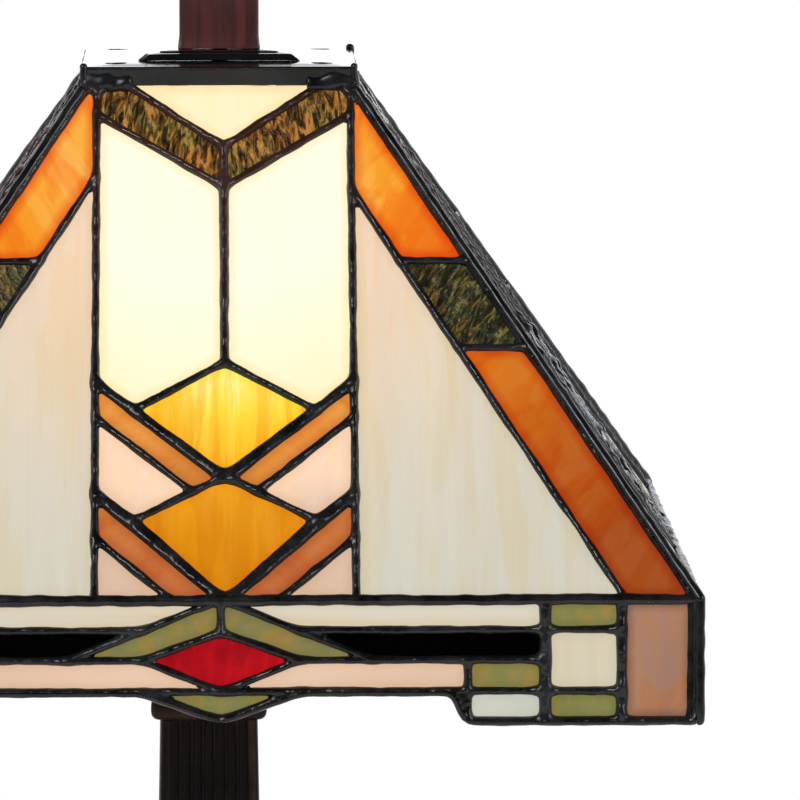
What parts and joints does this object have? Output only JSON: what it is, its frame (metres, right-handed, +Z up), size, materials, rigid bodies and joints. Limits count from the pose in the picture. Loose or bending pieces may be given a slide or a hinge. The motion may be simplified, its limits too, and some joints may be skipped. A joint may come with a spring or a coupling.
{
  "type": "stained glass table lamp",
  "caption": "Table lamp: a square leaded art-glass shade with a skirt, on a fluted column and stepped foot, with harp, finial, rotary-switch lampholder and bulb.",
  "frame": {"origin": "centre of the underside of the foot's felt, on the column's axis; the shade's axis stands 4.2 mm to +X of it", "axes": "+Z up the column, -Y out of the side that faces the viewer and carries the switch knob, +X to that viewer's right"},
  "size_m": [0.326, 0.326, 0.6],
  "materials": {
    "felt": "dark green felt",
    "steel": "zinc plated",
    "patina_bronze": "dark reddish-brown patina",
    "iron": "raw casting",
    "black_plastic": "moulded",
    "brass": "polished",
    "card": "fibre insulating sleeve",
    "porcelain": "glazed",
    "aluminium": "rolled thread",
    "bulb_glass": "frosted, lit warm white",
    "filament": "glass stem with its filament",
    "black_cap": "black patina, satin",
    "solder": "black-patina solder beads, glossy",
    "stained_glass": "opalescent art glass: cream, amber, orange, green and red panes",
    "red_brown_wood": "dark red-brown stain, satin"
  },
  "bodies": {
    "stand": {"felt_pad": "felt", "bottom_plate": "steel", "base_foot": "patina_bronze", "base_weight": "iron", "base_washer": "steel", "base_nut": "steel", "cable_inlet_bush": "black_plastic", "column_plinth": "patina_bronze", "column_shaft": "patina_bronze", "column_capital": "patina_bronze", "column_neck": "patina_bronze", "threaded_tube": "steel", "harp_saddle": "brass", "saddle_nut": "brass", "harp_bow": "brass", "harp_stud": "brass", "socket_cap": "brass", "socket_shell": "brass", "socket_liner": "card", "socket_core": "porcelain", "socket_screw_shell": "brass", "socket_contact": "brass"},
    "shade": {"top_rim": "black_cap", "shade_cap": "black_cap", "finial_boss": "black_cap", "panel_glass_front": "stained_glass", "panel_leading_front": "solder", "skirt_glass_front": "stained_glass", "skirt_leading_front": "solder", "panel_glass_right": "stained_glass", "panel_leading_right": "solder", "skirt_glass_right": "stained_glass", "skirt_leading_right": "solder", "panel_glass_back": "stained_glass", "panel_leading_back": "solder", "skirt_glass_back": "stained_glass", "skirt_leading_back": "solder", "panel_glass_left": "stained_glass", "panel_leading_left": "solder", "skirt_glass_left": "stained_glass", "skirt_leading_left": "solder", "hip_seam_front_right": "solder", "corner_seam_front_right": "solder", "hip_seam_back_right": "solder", "corner_seam_back_right": "solder", "hip_seam_back_left": "solder", "corner_seam_back_left": "solder", "hip_seam_front_left": "solder", "corner_seam_front_left": "solder"},
    "finial": {"finial_post": "red_brown_wood", "finial_insert": "brass"},
    "bulb": {"bulb_contact": "black_plastic", "bulb_screw_cap": "aluminium", "bulb_envelope": "bulb_glass", "bulb_filament": "filament"},
    "switch": {"switch_stem": "brass", "switch_knob": "black_plastic"},
    "ferrule_left": {"harp_ferrule_left": "brass"},
    "ferrule_right": {"harp_ferrule_right": "brass"}
  },
  "joints": [
    {"name": "shade_turn", "type": "hinge", "parent": "stand", "child": "shade", "pos_m": [0.0042, 0, 0.5486], "axis": [0, 0, 1], "continuous": true},
    {"name": "finial_turn", "type": "hinge", "parent": "stand", "child": "finial", "pos_m": [0.0042, 0, 0.56], "axis": [0, 0, 1], "continuous": true},
    {"name": "bulb_turn", "type": "hinge", "parent": "stand", "child": "bulb", "pos_m": [0, 0, 0.4], "axis": [0, 0, 1], "continuous": true},
    {"name": "switch_turn", "type": "hinge", "parent": "stand", "child": "switch", "pos_m": [0, -0.03, 0.377], "axis": [0, -1, 0], "continuous": true},
    {"name": "ferrule_left_lift", "type": "slide", "parent": "stand", "child": "ferrule_left", "axis": [0, 0, 1], "range_m": [0, 0.014]},
    {"name": "ferrule_right_lift", "type": "slide", "parent": "stand", "child": "ferrule_right", "axis": [0, 0, 1], "range_m": [0, 0.014]}
  ]
}
